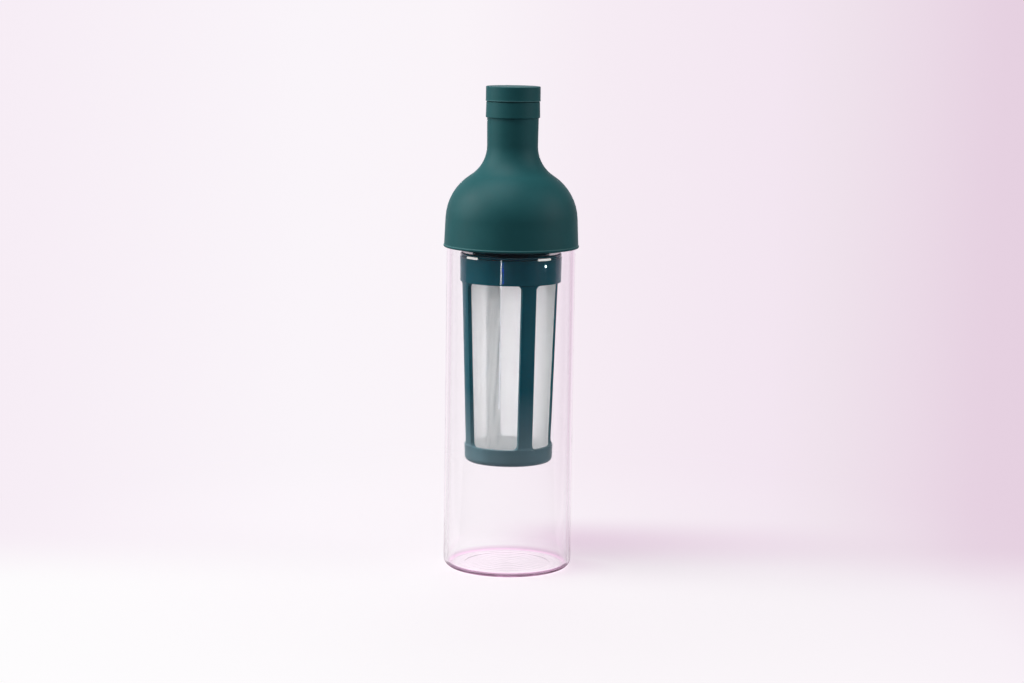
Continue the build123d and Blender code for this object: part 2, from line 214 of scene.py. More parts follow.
def put_in(name: str, points: np.ndarray, faces: list[list[int]],
           normals: np.ndarray | None = None, uv: np.ndarray | None = None) -> bpy.types.Object:
    """Make a smooth-shaded object of a mesh.

    Args:
        name: The object's name.
        points: One row of x, y and z for each vertex, in metres.
        faces: Vertex numbers of each face.
        normals: A normal for each vertex, or None for Blender's own.
        uv: A map position for each vertex, or None for no map.

    Returns:
        The object, linked into the scene at the origin.
    """
    mesh = bpy.data.meshes.new(name)
    mesh.from_pydata(points.tolist(), [], faces)
    mesh.polygons.foreach_set("use_smooth", [True] * len(mesh.polygons))
    if uv is not None:
        corners = np.zeros(len(mesh.loops), np.int32)
        mesh.loops.foreach_get("vertex_index", corners)
        mesh.uv_layers.new(name="Cloth").data.foreach_set("uv", uv[corners].ravel())
    if normals is not None:
        mesh.normals_split_custom_set_from_vertices(normals.tolist())
    mesh.update()
    piece = bpy.data.objects.new(name, mesh)
    bpy.context.scene.collection.objects.link(piece)
    return piece


def lathe(name: str, outline: np.ndarray, closed: bool, segments: int = 192) -> bpy.types.Object:
    """Turn an outline about Z.

    A point at radius r and height z goes to (r sin a, -r cos a, z) for each azimuth a. A point on
    the axis stays one vertex, with triangles around it.

    Args:
        name: The object's name.
        outline: Rows of radius, height, radial normal and upward normal.
        closed: Whether the last row joins the first.
        segments: Steps around the axis.

    Returns:
        The object.
    """
    azimuths = np.linspace(0, 2 * np.pi, segments, endpoint=False)
    around = np.stack([np.sin(azimuths), -np.cos(azimuths)], axis=1)
    radius, height, radial, upward = outline.T
    on_axis = radius < 1e-9
    sizes = np.where(on_axis, 1, segments)
    starts = np.concatenate([[0], np.cumsum(sizes)[:-1]])
    columns = np.arange(segments)
    numbers = starts[:, None] + np.where(on_axis[:, None], 0, columns)
    shown = np.ones((len(radius), segments), bool)
    shown[on_axis, 1:] = False

    def spin(flat: np.ndarray, up: np.ndarray) -> np.ndarray:
        """Carry a radial and an upward value around the axis.

        Args:
            flat: The radial value of each row of the outline.
            up: The upward one.

        Returns:
            A row of x, y and z for each vertex.
        """
        grid = np.empty((len(flat), segments, 3))
        grid[..., :2] = flat[:, None, None] * around
        grid[..., 2] = up[:, None]
        return grid[shown]

    points = spin(radius, height)
    normals = spin(np.where(on_axis, 0, radial), np.where(on_axis, np.sign(upward), upward))
    low = numbers if closed else numbers[:-1]
    high = np.roll(numbers, -1, axis=0) if closed else numbers[1:]
    quads = np.stack([low, np.roll(low, -1, 1), np.roll(high, -1, 1), high], axis=-1)
    quads = quads.reshape(-1, 4)
    from_axis = quads[:, 0] == quads[:, 1]
    to_axis = quads[:, 2] == quads[:, 3]
    whole = ~(from_axis | to_axis)
    faces = quads[whole].tolist()
    faces += quads[from_axis][:, 1:].tolist() + quads[to_axis][:, :3].tolist()
    return put_in(name, points, faces, normals)


def sheet_grid(name: str, points: np.ndarray, flat: np.ndarray) -> bpy.types.Object:
    """Make an open grid of faces from rows and columns of points.

    Args:
        name: The object's name.
        points: Positions, rows by columns by 3, with columns running to the right and rows up as
            seen from outside.
        flat: Positions on the flat cloth, rows by columns by 2, kept as the UV map.

    Returns:
        The object.
    """
    rows, columns = points.shape[:2]
    numbers = np.arange(rows * columns).reshape(rows, columns)
    quads = np.stack(
        [numbers[:-1, :-1], numbers[:-1, 1:], numbers[1:, 1:], numbers[1:, :-1]], axis=-1)
    return put_in(name, points.reshape(-1, 3), quads.reshape(-1, 4).tolist(),
                  uv=flat.reshape(-1, 2))


# ---------------------------------------------------------------------------- finishes
def off_axis(tree: Tree, place: Socket) -> Socket:
    """Add nodes that measure how far a place is from the bottle's axis.

    Args:
        tree: The node tree that takes them.
        place: The output that gives a point's place.

    Returns:
        The output that gives the distance, in metres.
    """
    flat = add_node(tree, "VectorMath", {0: place, 1: (1.0, 1.0, 0.0)}, operation="MULTIPLY")
    return add_node(tree, "VectorMath", {0: flat.outputs[0]}, operation="LENGTH").outputs["Value"]


@dataclass(frozen=True)
class MouldedSilicone:
    """Liquid silicone rubber from a blasted mould: matte, with a soft haze where light grazes it."""

    tints: Stops = ((0.3, "#1a6469"), (0.75, "#206b70"))  # over the clouds: clean, then worn
    roughness: Pair = (0.52, 0.62)  # likewise
    ior: float = 1.41
    haze: float = 0.05
    haze_roughness: float = 0.45
    haze_tint: str = "#c9dcdc"
    cloud_mm: float = 16.0         # size of the faint clouds that handling leaves
    grain_mm: float = 0.5          # the mould's grit is about 0.05 mm, drawn ten times as coarse
    grain_depth_mm: float = 0.006
    grain_strength: float = 0.6
    edge: str = "#5c9396"          # painted highlight: paler green in thin lines where the lip and the cap's edge catch the light
    painted_highlight_levels_mm: tuple[Pair, ...] = ((202.55, 0.4), (291.35, 0.4))  # painted highlight lines: level, half width

    def material(self) -> bpy.types.Material:
        """Make the material. Its painted highlight lines go by the piece's own height.

        Returns:
            The material.
        """
        material, tree = new_tree("silicone_moulded_green")
        place = add_node(tree, "TexCoord").outputs["Object"]
        clouds = add_node(tree, "TexNoise", {"Vector": place, "Scale": 1 / (self.cloud_mm * MM),
                                             "Detail": 3.0, "Roughness": 0.6}).outputs[0]
        grain = add_node(tree, "TexNoise", {"Vector": place, "Scale": 1 / (self.grain_mm * MM),
                                            "Detail": 2.0})
        tint = add_node(tree, "ValToRGB", {"Fac": clouds}, stops=self.tints).outputs[0]
        level = add_node(tree, "SeparateXYZ", {0: place}).outputs["Z"]
        # painted highlight: a paler line at each of these levels
        for middle, half in self.painted_highlight_levels_mm:
            off = add_node(tree, "Math", {0: level, 1: -middle * MM}, operation="ADD")
            off = add_node(tree, "Math", {0: off.outputs[0]}, operation="ABSOLUTE")
            share = add_node(tree, "MapRange", {"Value": off.outputs[0], "From Min": half * MM,
                                                "From Max": 0.0})
            tint = add_node(tree, "Mix", {0: share.outputs[0], 6: tint, 7: linear(self.edge)},
                            data_type="RGBA").outputs[2]
        rough = add_node(tree, "MapRange", {
            "Value": clouds, "From Min": NOISE_SPAN[0], "From Max": NOISE_SPAN[1],
            "To Min": self.roughness[0], "To Max": self.roughness[1]})
        bump = add_node(tree, "Bump", {"Height": grain.outputs[0],
                                       "Strength": self.grain_strength,
                                       "Distance": self.grain_depth_mm * MM})
        shader = add_node(tree, "BsdfPrincipled", {
            "Base Color": tint, "Roughness": rough.outputs[0], "IOR": self.ior,
            "Sheen Weight": self.haze, "Sheen Roughness": self.haze_roughness,
            "Sheen Tint": linear(self.haze_tint), "Normal": bump.outputs[0]})
        add_node(tree, "OutputMaterial", {"Surface": shader.outputs[0]})
        return material


@dataclass(frozen=True)
class MouldedPolypropylene:
    """Injection-moulded polypropylene: satin to glossy, with a faint flow of the melt."""

    name: str
    colour: str
    flow: str                      # the colour of the melt's flow marks
    roughness: Pair                # over those marks
    flow_at: Pair = (0.35, 0.75)   # values of the marks that take each colour
    flow_mm: float = 14.0          # width of a mark
    flow_squeeze: float = 0.25     # marks run upwards: their width as a share of their length
    flow_depth_mm: float = 0.05
    flow_strength: float = 0.25
    ior: float = 1.49
    gloss: float = 0.32            # specular level: the resin is duller than its index says
    edge_mm: float = 0.3           # rounding that the eye sees on an edge
    glow: float = 0.0              # light that scatters inside, as in unpigmented resin
    glow_mm: float = 1.5           # how far it scatters
    painted_glow: float = 0.0             # painted glow: emission at its ends that stands in for light unpigmented resin gathers
    painted_glow_mm: Pair = (30.2, 31.0)  # off the axis, where that painted glow begins and is full
    pale_below: str = "#a3bec2"         # a paler colour towards the bottom
    pale_below_share: float = 0.0
    pale_below_mm: Pair = (115.0, 72.0)  # levels where it begins and is full

    def material(self) -> bpy.types.Material:
        """Make the material. Its paler bottom and painted glow go by the piece's own height and
        radius.

        Returns:
            The material.
        """
        material, tree = new_tree(self.name)
        place = add_node(tree, "TexCoord").outputs["Object"]
        drawn = add_node(tree, "Mapping", {"Vector": place, "Scale": (1, 1, self.flow_squeeze)})
        flow = add_node(tree, "TexNoise", {"Vector": drawn.outputs[0], "Detail": 4.0,
                                           "Scale": 1 / (self.flow_mm * MM)}).outputs[0]
        tint = add_node(tree, "ValToRGB", {"Fac": flow},
                        stops=tuple(zip(self.flow_at, (self.colour, self.flow)))).outputs[0]
        rough = add_node(tree, "MapRange", {
            "Value": flow, "From Min": NOISE_SPAN[0], "From Max": NOISE_SPAN[1],
            "To Min": self.roughness[0], "To Max": self.roughness[1]})
        # paler towards the bottom of the piece
        if self.pale_below_share:
            level = add_node(tree, "SeparateXYZ", {0: place}).outputs["Z"]
            low = add_node(tree, "MapRange", {"Value": level, "From Min": self.pale_below_mm[0] * MM,
                                              "From Max": self.pale_below_mm[1] * MM,
                                              "To Max": self.pale_below_share})
            tint = add_node(tree, "Mix", {0: low.outputs[0], 6: tint, 7: linear(self.pale_below)},
                            data_type="RGBA").outputs[2]
        edge = add_node(tree, "Bevel", {"Radius": self.edge_mm * MM}, samples=6)
        bump = add_node(tree, "Bump", {"Height": flow, "Strength": self.flow_strength,
                                       "Distance": self.flow_depth_mm * MM,
                                       "Normal": edge.outputs[0]})
        look = {"Base Color": tint, "Roughness": rough.outputs[0], "IOR": self.ior,
                "Specular IOR Level": self.gloss, "Subsurface Weight": self.glow,
                "Subsurface Scale": self.glow_mm * MM, "Normal": bump.outputs[0]}
        # painted glow: emission towards the piece's outer edge, though it is no lamp
        if self.painted_glow:
            painted_glow = add_node(tree, "MapRange", {
                "Value": off_axis(tree, place), "From Min": self.painted_glow_mm[0] * MM,
                "From Max": self.painted_glow_mm[1] * MM, "To Max": self.painted_glow})
            look |= {"Emission Color": linear(self.colour), "Emission Strength": painted_glow.outputs[0]}
        shader = add_node(tree, "BsdfPrincipled", look)
        add_node(tree, "OutputMaterial", {"Surface": shader.outputs[0]})
        return material


@dataclass(frozen=True)
class DrawnGlass:
    """Borosilicate tube, fire-polished: clear, with a breath of violet where it is seen edge on."""

    tints: Stops = ((0.74, "#ffffff"), (0.99, "#eedae9"))  # over how far a wall turns away
    shadow: str = "#fcf8fb"        # what one surface leaves of a lamp's light
    ior: float = 1.473
    body_tint: str = "#e29fd0"     # what a long way through the glass takes light to
    density: float = 6.0           # per metre
    foot: str = "#deb0d6"          # the stronger violet of the foot's edge, where glass gathers
    foot_mm: float = 4.6           # how high it reaches
    foot_out_mm: Pair = (33.0, 38.0)  # off the axis, where it begins and is full
    foot_painted_highlight: str = "#ffbce7"         # painted highlight: emission at the foot, standing in for light that runs down inside the wall and leaves there
    foot_painted_highlight_share: float = 0.24
    foot_painted_highlight_mm: Pair = (1.9, 0.9)    # levels where it begins and is full
    wave_mm: float = 11.0          # size of the soft waves that drawing the tube leaves
    wave_depth_mm: float = 0.02

    def material(self) -> bpy.types.Material:
        """Make the material. Rays from lamps pass straight through it, as they do in thin glass.

        Returns:
            The material.
        """
        material, tree = new_tree("glass_borosilicate_clear")
        place = add_node(tree, "TexCoord").outputs["Object"]
        waves = add_node(tree, "TexNoise", {"Vector": place, "Scale": 1 / (self.wave_mm * MM),
                                            "Detail": 1.0})
        bump = add_node(tree, "Bump", {"Height": waves.outputs[0], "Strength": 1.0,
                                       "Distance": self.wave_depth_mm * MM})
        turned = add_node(tree, "LayerWeight", {"Blend": 0.5}).outputs["Facing"]
        tint = add_node(tree, "ValToRGB", {"Fac": turned}, stops=self.tints)
        level = add_node(tree, "SeparateXYZ", {0: place}).outputs["Z"]
        low = add_node(tree, "MapRange", {"Value": level, "From Min": self.foot_mm * MM,
                                          "From Max": 0.0})
        wide = add_node(tree, "MapRange", {"Value": off_axis(tree, place),
                                           "From Min": self.foot_out_mm[0] * MM,
                                           "From Max": self.foot_out_mm[1] * MM})
        share = add_node(tree, "Math", {0: low.outputs[0], 1: wide.outputs[0]},
                         operation="MULTIPLY")
        tint = add_node(tree, "Mix", {0: share.outputs[0], 6: tint.outputs[0],
                                      7: linear(self.foot)}, data_type="RGBA")
        # painted highlight: emission low on the foot's outer edge
        last = add_node(tree, "MapRange", {"Value": level, "From Min": self.foot_painted_highlight_mm[0] * MM,
                                           "From Max": self.foot_painted_highlight_mm[1] * MM,
                                           "To Max": self.foot_painted_highlight_share})
        foot_painted_highlight = add_node(tree, "Math", {0: last.outputs[0], 1: wide.outputs[0]},
                         operation="MULTIPLY")
        glass = add_node(tree, "BsdfPrincipled", {
            "Base Color": tint.outputs[2], "Roughness": 0.0, "IOR": self.ior,
            "Transmission Weight": 1.0, "Normal": bump.outputs[0],
            "Emission Color": linear(self.foot_painted_highlight), "Emission Strength": foot_painted_highlight.outputs[0]})
        clear = add_node(tree, "BsdfTransparent", {"Color": linear(self.shadow)})
        path = add_node(tree, "LightPath")
        mix = add_node(tree, "MixShader", {0: path.outputs["Is Shadow Ray"],
                                           1: glass.outputs[0], 2: clear.outputs[0]})
        depth = add_node(tree, "VolumeAbsorption", {"Color": linear(self.body_tint),
                                                    "Density": self.density})
        add_node(tree, "OutputMaterial", {"Surface": mix.outputs[0], "Volume": depth.outputs[0]})
        return material


@dataclass(frozen=True)
class WovenPolyester:
    """Plain-woven polyester filter cloth: white, matte, letting light and dark shapes through."""

    colour: str = "#fafdfb"
    roughness: float = 0.75
    ior: float = 1.5
    pitch_mm: float = 0.6          # threads are 0.15 mm apart, drawn four times as coarse to show
    thread: float = 0.44           # share of the pitch that a thread covers
    blur: float = 0.12             # half the width of a thread's soft edge, in sine of its phase
    depth_mm: float = 0.03
    strength: float = 0.5
    through: float = 0.82          # share of light that a thread passes on
    bunch: float = 0.25            # how much a crease closes or opens the weave

    def material(self) -> bpy.types.Material:
        """Make the material. The UV map holds millimetres of flat cloth.

        Returns:
            The material.
        """
        material, tree = new_tree("polyester_cloth_plain_woven")
        flat = add_node(tree, "UVMap", uv_map="Cloth")
        turns = add_node(tree, "VectorMath", {0: flat.outputs[0],
                                              "Scale": math.pi / self.pitch_mm},
                         operation="SCALE")
        apart = add_node(tree, "SeparateXYZ", {0: turns.outputs[0]})
        ridges = []
        for axis in ("X", "Y"):
            wave = add_node(tree, "Math", {0: apart.outputs[axis]}, operation="SINE")
            ridges.append(add_node(tree, "Math", {0: wave.outputs[0]}, operation="ABSOLUTE"))
        cover = add_node(tree, "Math", {0: ridges[0].outputs[0], 1: ridges[1].outputs[0]},
                         operation="MAXIMUM")
        crease = add_node(tree, "Attribute", attribute_name="crease")
        closed = add_node(tree, "Math", {0: crease.outputs["Fac"], 1: self.bunch,
                                         2: cover.outputs[0]}, operation="MULTIPLY_ADD")
        edge = math.sin(math.pi / 2 * (1 - self.thread))
        solid = add_node(tree, "MapRange", {"Value": closed.outputs[0],
                                            "From Min": edge - self.blur,
                                            "From Max": edge + self.blur})
        bump = add_node(tree, "Bump", {"Height": cover.outputs[0], "Strength": self.strength,
                                       "Distance": self.depth_mm * MM})
        front = add_node(tree, "BsdfPrincipled", {
            "Base Color": linear(self.colour), "Roughness": self.roughness, "IOR": self.ior,
            "Normal": bump.outputs[0]})
        through = add_node(tree, "BsdfTranslucent", {"Color": linear(self.colour)})
        cloth = add_node(tree, "MixShader", {0: self.through, 1: front.outputs[0],
                                             2: through.outputs[0]})
        hole = add_node(tree, "BsdfTransparent")
        mix = add_node(tree, "MixShader", {0: solid.outputs[0], 1: hole.outputs[0],
                                           2: cloth.outputs[0]})
        add_node(tree, "OutputMaterial", {"Surface": mix.outputs[0]})
        return material


def dress(piece: bpy.types.Object, material: bpy.types.Material) -> None:
    """Give a piece, or a CAD node, one material all over.

    Args:
        piece: The object.
        material: Its material.
    """
    piece.data.materials.clear()
    piece.data.materials.append(material)


def enter(piece: bpy.types.Object, body: Body, node: str,
          material: bpy.types.Material) -> None:
    """Dress a new piece and put it in the frame in a CAD node's place.

    Args:
        piece: The new piece.
        body: The body it rides on.
        node: The CAD node that it stands for.
        material: Its material.
    """
    dress(piece, material)
    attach(piece, body.value)
    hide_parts(node)
    LOG.info("%s rides on %s and stands for %s: %d faces", piece.name, body.value, node,
             len(piece.data.polygons))


def thicken(piece: bpy.types.Object, thickness: float, offset: float) -> None:
    """Give an open sheet its thickness.

    Args:
        piece: The sheet.
        thickness: Its thickness, in metres.
        offset: 1 to thicken it along its normals, -1 to thicken it against them.
    """
    thick = piece.modifiers.new("thickness", "SOLIDIFY")
    thick.thickness = thickness
    thick.offset = offset


# ---------------------------------------------------------------------------- the bottle
@dataclass
class GlassBottle:
    """The glass tube with its closed floor. Radius and height come from the frame."""

    wall: float = 2.2              # mm, as all sizes here
    rim_share: float = 0.49        # rounding of the rim's two edges, as a share of the wall
    floor: float = 2.4
    foot_rounding: float = 5.4
    floor_rounding: float = 2.6
    punt_radius: float = 27.0
    punt_rise: float = 0.06
    punt_slope: float = 1.0
    ripple: float = 0.012          # height of the rings that pressing leaves in the floor
    ripple_pitch: float = 4.6
    step: float = 0.5              # fine enough for the rings
    segments: int = 256

    def outline(self) -> np.ndarray:
        """Outline of the glass, with faint rings h(r) = a (1 - cos(2 pi r / p)) in its floor.

        Returns:
            Rows of radius, height, radial normal and upward normal, in metres.
        """
        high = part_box("glass_body")[1]
        radius, top = high.x / MM, high.z / MM
        bore = radius - self.wall
        rim = self.wall * self.rim_share
        outline = rounded_outline([
            (0, self.punt_rise, 0),
            (self.punt_radius - self.punt_slope, self.punt_rise, self.punt_slope),
            (self.punt_radius, 0, self.punt_slope / 3),
            (radius, 0, self.foot_rounding),
            (radius, top, rim),
            (bore, top, rim),
            (bore, self.floor, self.floor_rounding),
            (0, self.floor, 0),
        ], closed=False, step=self.step)
        inner_floor = np.isclose(outline[:, 1], self.floor * MM) & (outline[:, 3] > 0.999)
        phase = 2 * np.pi * outline[inner_floor, 0] / MM / self.ripple_pitch
        slope = self.ripple * 2 * np.pi / self.ripple_pitch * np.sin(phase)
        outline[inner_floor, 1] += self.ripple * (1 - np.cos(phase)) * MM
        outline[inner_floor, 2] = -slope
        return outline

    def build(self) -> None:
        """Make and dress the glass."""
        glass = lathe("glass_bottle", self.outline(), closed=False, segments=self.segments)
        enter(glass, Body.BOTTLE, "glass_body", DrawnGlass().material())


@dataclass
class RubberTop:
    """The neck sleeve that grips the glass, and the stopper in its mouth.

    A Corner holds the radius, the level and the rounding of a corner of the outline. The skirt's
    radius, its lip's level and both pieces' tops come from the frame.
    """

    edge: float = 0.5              # mm, as all sizes here: rounding of an edge of the rubber
    lip_rounding: float = 0.9
    lip_bead: float = 0.40         # the bead's step over the skirt's lip
    lip_bead_top: float = 202.2
    lip_bead_slope: float = 0.6    # its bevel's height, as a share of its step
    lip_bead_edges: Pair = (0.12, 0.15)
    shoulder: Corner = (40.1, 235.8, 32.6)
    throat: Corner = (15.55, 251.9, 21.6)
    neck_radius: float = 15.9      # right under the band round the mouth
    band_level: float = 280.8
    band_radii: Pair = (16.75, 16.5)  # of the band's lower and upper edge
    band_root: float = 0.25
    inner_throat: Corner = (13.0, 250.7, 23.58)
    inner_shoulder: Corner = (37.77, 234.46, 25.0)
    web_radius: float = 38.54      # where the web meets the wall
    web: Pair = (217.7, 220.3)     # levels of its two faces
    web_root: float = 1.0
    socket: Pair = (23.8, 26.2)    # radii of the tube that holds the strainer
    socket_foot: float = 203.5
    seal: Pair = (35.4, 37.55)     # radii of the skirt inside the glass
    seal_foot: float = 206.0
    bore: float = 39.85            # of the skirt over the glass
    rim_seat: float = 1.12         # rounding of the groove that the glass's rim sits in
    plug: float = 12.5             # radius of the stopper's plug
    plug_lead: float = 1.2         # its lead-in
    rib: float = 12.95             # radius of a sealing rib
    rib_edges: Pair = (0.4, 0.03)  # rounding of its edge and of its root
    rib_levels: tuple[float, ...] = (279.5, 283.9, 288.3)
    rib_half: float = 0.9
    cap_level: float = 290.9
    cap_bead: float = 0.14         # the step over the cap's lower edge
    cap_bead_top: float = 291.7
    cap_bead_edge: float = 0.05
    step: float = 3.0

    def neck_outline(self) -> np.ndarray:
        """Outline of the sleeve: outside from the lip up, then down the inside.

        Returns:
            Rows of radius, height, radial normal and upward normal, in metres.
        """
        low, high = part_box("neck_sleeve")
        lip_r, lip_z, top = high.x / MM, low.z / MM, high.z / MM
        return rounded_outline([
            (lip_r, lip_z, self.lip_rounding),
            (lip_r, self.lip_bead_top, self.lip_bead_edges[0]),
            (lip_r - self.lip_bead, self.lip_bead_top + self.lip_bead_slope * self.lip_bead,
             self.lip_bead_edges[1]),
            self.shoulder,
            self.throat,
            (self.neck_radius, self.band_level, self.band_root),
            (self.band_radii[0], self.band_level, self.edge),
            (self.band_radii[1], top, self.edge),
            (self.inner_throat[0], top, self.edge),
            self.inner_throat,
            self.inner_shoulder,
            (self.web_radius, self.web[1], self.edge),
            (self.socket[0], self.web[1], self.edge),
            (self.socket[0], self.socket_foot, self.edge),
            (self.socket[1], self.socket_foot, self.edge),
            (self.socket[1], self.web[0], self.web_root),
            (self.seal[0], self.web[0], self.web_root),
            (self.seal[0], self.seal_foot, self.edge),
            (self.seal[1], self.seal_foot, self.edge),
            (self.seal[1], self.web[0], self.rim_seat),
            (self.bore, self.web[0], self.rim_seat),
            (self.bore, lip_z, self.edge),
        ], closed=True, step=self.step)

    def stopper_outline(self) -> np.ndarray:
        """Outline of the stopper: plug with its sealing ribs, then the cap.

        Returns:
            Rows of radius, height, radial normal and upward normal, in metres.
        """
        low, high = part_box("stopper")
        foot, cap_r, top = low.z / MM, high.x / MM, high.z / MM
        plug = [
            (0, foot, 0),
            (self.plug - self.plug_lead, foot, self.edge),
            (self.plug, foot + self.plug_lead, self.edge),
        ]
        outer, root = self.rib_edges
        for level in self.rib_levels:
            below, above = level - self.rib_half, level + self.rib_half
            plug += [(self.plug, below, root), (self.rib, below, outer),
                     (self.rib, above, outer), (self.plug, above, root)]
        cap = [
            (self.plug, self.cap_level, self.edge / 2),
            (cap_r, self.cap_level, self.edge),
            (cap_r, self.cap_bead_top, self.cap_bead_edge),
            (cap_r - self.cap_bead, self.cap_bead_top + self.cap_bead, self.cap_bead_edge),
            (cap_r - self.cap_bead, top, self.edge),
            (0, top, 0),
        ]
        return rounded_outline(plug + cap, closed=False, step=self.step)

    def build(self) -> None:
        """Make and dress both pieces."""
        silicone = MouldedSilicone().material()
        neck = lathe("silicone_neck", self.neck_outline(), closed=True)
        enter(neck, Body.NECK, "neck_sleeve", silicone)
        stopper = lathe("silicone_stopper", self.stopper_outline(), closed=False)
        enter(stopper, Body.STOPPER, "stopper", silicone)


@dataclass
class Strainer:
    """Head, basket frame, hoop and cloth of the strainer."""

    cloth_thickness: float = 0.14  # mm, as all sizes here
    cloth_inset: float = 0.08      # from the space the cloth may fill to its outer face
    lap: float = 7.0
    lap_azimuth: float = -67.6     # degrees, behind a rib
    lap_step: float = 0.25         # how far the cloth goes in under its own edge
    straight_from: float = 180.0   # level where the taper ends
    taper: float = 3.7 / 112.8     # radius lost for each mm of height below it
    rib_azimuth: float = 22.4
    ribs: int = 4
    bow: float = 0.4               # how far the cloth bows in between two ribs
    window: Pair = (78.0, 180.0)   # levels between which it can bow
    window_ease: float = 8.0       # how far from those levels it has its full bow
    creases: tuple[tuple[float, float, float, float, float], ...] = (
        # azimuth in degrees, level, length, slant in degrees for each mm of height, depth
        (-16.5, 130.0, 78.0, 0.16, 0.40),
        (-39.0, 118.0, 60.0, 0.05, 0.08),
        (55.0, 128.0, 60.0, -0.05, 0.08),
        (118.0, 140.0, 48.0, 0.10, 0.55),
        (142.0, 112.0, 44.0, -0.09, 0.45),
        (232.0, 132.0, 56.0, 0.08, 0.50),
        (250.0, 126.0, 44.0, 0.12, 0.50),
    )
    crease_radius: float = 27.0    # radius of the cloth where arcs are measured
    crease_width: float = 0.9
    crease_full: float = 0.4       # depth that bunches the weave fully
    ridge_off: float = 1.8         # from a valley to its ridge, in widths of a crease
    valley_width: float = 1.3      # in widths of a crease
    valley_open: float = 0.6       # how much less a valley opens than a ridge closes
    tube_grid: tuple[int, int] = (140, 320)  # rows and columns
    disc_grid: tuple[int, int] = (40, 96)  # rings and columns
    disc_sag: float = 0.25
    disc_level: float = 0.28       # of its middle plane over the CAD disc's underside

    def build(self) -> None:
        """Dress the moulded pieces and make the cloth."""
        smooth = MouldedPolypropylene("polypropylene_moulded_green_smooth", "#066170", "#0a6775",
                                      roughness=(0.03, 0.15), gloss=0.5).material()
        green = MouldedPolypropylene("polypropylene_moulded_green", "#066675", "#0a6c7a",
                                     roughness=(0.29, 0.41), pale_below_share=0.46).material()
        # the hoop gets a painted glow at its ends
        natural = MouldedPolypropylene("polypropylene_moulded_natural", "#f2f1ec", "#f8f7f3",
                                       roughness=(0.33, 0.45), glow=0.25, painted_glow=0.6).material()
        for node, material in (("strainer_head", smooth), ("strainer_frame", green),
                               ("mesh_hoop", natural)):
            dress(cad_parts[node], material)
            LOG.info("%s keeps its shape and gets %s", node, material.name)
        self.cloth_tube()
        self.cloth_disc()

    def cloth_tube(self) -> None:
        """Make the tapered cloth tube."""
        low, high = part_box("mesh_sleeve")
        bottom, top = low.z / MM, high.z / MM
        radius_top = high.x / MM
        rows, columns = self.tube_grid
        height = np.linspace(bottom, top, rows)[:, None]
        lap_angle = self.lap / radius_top
        start = math.radians(self.lap_azimuth) - lap_angle / 2
        azimuth = start + np.linspace(0, 1, columns)[None, :] * (2 * np.pi + lap_angle)
        under = np.clip((azimuth - start - 2 * np.pi + lap_angle) / lap_angle, 0, 1)
        depth, bunched = self.folds(azimuth, height)
        radius = radius_top - self.taper * np.clip(self.straight_from - height, 0, None)
        radius = radius - self.lap_step * under - self.cloth_inset - depth
        points = np.stack([radius * np.sin(azimuth), -radius * np.cos(azimuth),
                           height + 0 * azimuth], axis=-1) * MM
        flat = np.stack([azimuth * radius_top + 0 * height, height + 0 * azimuth], axis=-1)
        tube = sheet_grid("cloth_tube", points, flat)
        crease = tube.data.attributes.new("crease", "FLOAT", "POINT")
        crease.data.foreach_set("value", bunched.ravel())
        thicken(tube, self.cloth_thickness * MM, -1.0)
        enter(tube, Body.BASKET, "mesh_sleeve", WovenPolyester().material())

    def folds(self, azimuth: np.ndarray, height: np.ndarray) -> tuple[np.ndarray, np.ndarray]:
        """How far the cloth lies inside its cone, and where its creases bunch it up.

        Between two of n ribs it bows in by b (1 - cos n(a - a0)) / 2, and each crease adds a
        valley d exp(-(s / w)^2) about a slanting line, s being the arc to that line. The weave
        closes on the ridge to the left of the valley and opens in the valley.

        Args:
            azimuth: Azimuths in radians, one row.
            height: Levels in millimetres, one column.

        Returns:
            At each level and azimuth, the depth in millimetres, and 1 on a ridge to -1 in a
            valley.
        """
        low, high = self.window
        ease = (np.clip((height - low) / self.window_ease, 0, 1)
                * np.clip((high - height) / self.window_ease, 0, 1))
        turned = azimuth - math.radians(self.rib_azimuth)
        depth = self.bow * (1 - np.cos(self.ribs * turned)) / 2
        bunched = np.zeros_like(depth * ease)
        for centre, level, length, slant, deep in self.creases:
            line = np.radians(centre + slant * (height - level))
            arc = (azimuth - line + np.pi) % (2 * np.pi) - np.pi
            arc = self.crease_radius * arc / self.crease_width
            fade = np.clip(1 - ((height - level) / (length / 2)) ** 2, 0, 1)
            depth = depth + deep * fade * np.exp(-arc ** 2)
            ridge = np.exp(-(arc + self.ridge_off) ** 2)
            valley = np.exp(-(arc / self.valley_width) ** 2)
            bunched += min(1.0, deep / self.crease_full) * fade * (
                ridge - self.valley_open * valley)
        return depth * ease, np.clip(bunched, -1, 1)

    def cloth_disc(self) -> None:
        """Make the round cloth disc at the bottom."""
        low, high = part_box("mesh_base")
        radius, level = high.x / MM, low.z / MM
        rings, columns = self.disc_grid
        reach = np.linspace(0, radius, rings)[1:]
        azimuth = np.linspace(0, 2 * np.pi, columns, endpoint=False)
        drop = self.disc_sag * (1 - (reach / radius) ** 2)
        flat = np.concatenate([[[0.0, 0.0]], np.stack([
            reach[:, None] * np.sin(azimuth), -reach[:, None] * np.cos(azimuth)],
            axis=-1).reshape(-1, 2)])
        drop = np.concatenate([[self.disc_sag], np.repeat(drop, columns)])
        points = np.column_stack([flat, level + self.disc_level - drop]) * MM
        numbers = 1 + np.arange(len(reach) * columns).reshape(len(reach), -1)
        turned = np.roll(numbers, -1, axis=1)
        quads = np.stack([numbers[:-1], numbers[1:], turned[1:], turned[:-1]], -1).reshape(-1, 4)
        fan = np.stack([np.zeros(columns, int), numbers[0], turned[0]], -1)
        disc = put_in("cloth_disc", points, quads.tolist() + fan.tolist(), uv=flat)
        thicken(disc, self.cloth_thickness * MM, 1.0)
        enter(disc, Body.BASKET, "mesh_base", WovenPolyester().material())


